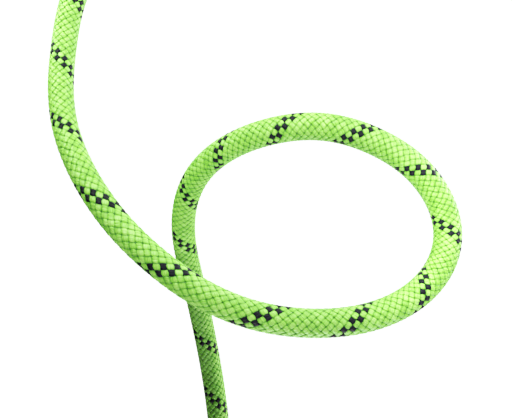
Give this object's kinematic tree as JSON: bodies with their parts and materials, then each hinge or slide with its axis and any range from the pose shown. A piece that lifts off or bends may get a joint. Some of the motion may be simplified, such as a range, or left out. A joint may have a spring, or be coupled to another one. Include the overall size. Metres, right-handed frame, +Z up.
{
  "type": "dynamic climbing rope",
  "caption": "Braided single climbing rope with a twisted-strand core, wound in a round coil closed by wraps, its tail hanging in one loose loop with a fused end.",
  "frame": {"origin": "inner top of the coil's ring, where a peg or an arm carries it", "axes": "+Z up, against gravity; +X to the right in the front view; +Y away from the front, along the axis of the ring"},
  "size_m": [0.4178, 0.1425, 0.729],
  "materials": {
    "sheath": "bright lime braided nylon, soft sheen",
    "tracer": "near-black braided nylon, soft sheen",
    "core": "undyed twisted nylon",
    "tape": "thin printed-free plastic tape",
    "sleeve": "clear shrink sleeve over a plain pale label",
    "fused_nylon": "melted nylon, uneven gloss",
    "tie": "black woven hook-and-loop strap"
  },
  "bodies": {
    "root": {"rope_sheath": "sheath", "core_strand_01": "core", "core_strand_02": "core", "core_strand_03": "core", "core_strand_04": "core", "core_strand_05": "core", "core_strand_06": "core", "core_strand_07": "core", "core_strand_08": "core", "core_strand_09": "core", "core_strand_10": "core", "core_strand_11": "core", "core_strand_12": "core", "identification_tape": "tape", "rope_coil": "sheath", "coil_wraps": "sheath", "coil_tie_left": "tie", "coil_tie_right": "tie", "first_end_rope": "sheath", "first_end_sleeve": "sleeve", "first_end_tip": "fused_nylon", "last_end_sleeve": "sleeve", "last_end_tip": "fused_nylon"}
  },
  "joints": []
}
